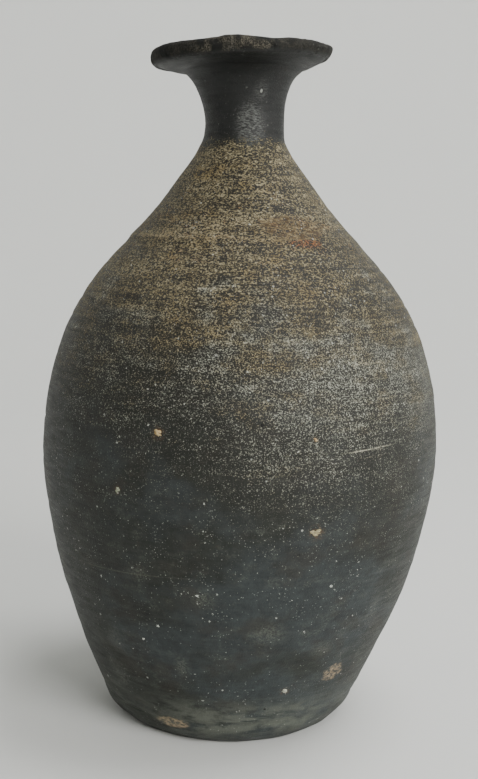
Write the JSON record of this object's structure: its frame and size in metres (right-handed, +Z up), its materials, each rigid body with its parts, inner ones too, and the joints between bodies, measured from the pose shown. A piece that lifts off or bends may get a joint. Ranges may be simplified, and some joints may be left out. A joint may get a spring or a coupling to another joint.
{
  "type": "sake bottle",
  "caption": "Large unglazed stoneware sake bottle with a full belly, conical shoulder, narrow neck and flared lip, luted together from thrown sections.",
  "frame": {"origin": "centre of the foot's flat underside", "axes": "+Z up along the bottle's axis, -Y towards the front, where the stone grains show, and -X towards the side on which the lip hangs lower"},
  "size_m": [0.1818, 0.1818, 0.3053],
  "materials": {
    "stoneware_dark": "unglazed, reduction-fired charcoal with fine throwing rings, satin",
    "stoneware_ash": "unglazed dark body under a dense sesame-like speckle of natural tan ash, matt",
    "stone_grain": "fired feldspar grain, rough"
  },
  "bodies": {
    "root": {"foot_slab": "stoneware_dark", "foot_coil": "stoneware_dark", "lower_wall": "stoneware_dark", "upper_wall": "stoneware_ash", "shoulder_cone": "stoneware_ash", "neck_collar": "stoneware_dark", "lip_flange": "stoneware_dark", "stone_grains": "stone_grain"}
  },
  "joints": []
}
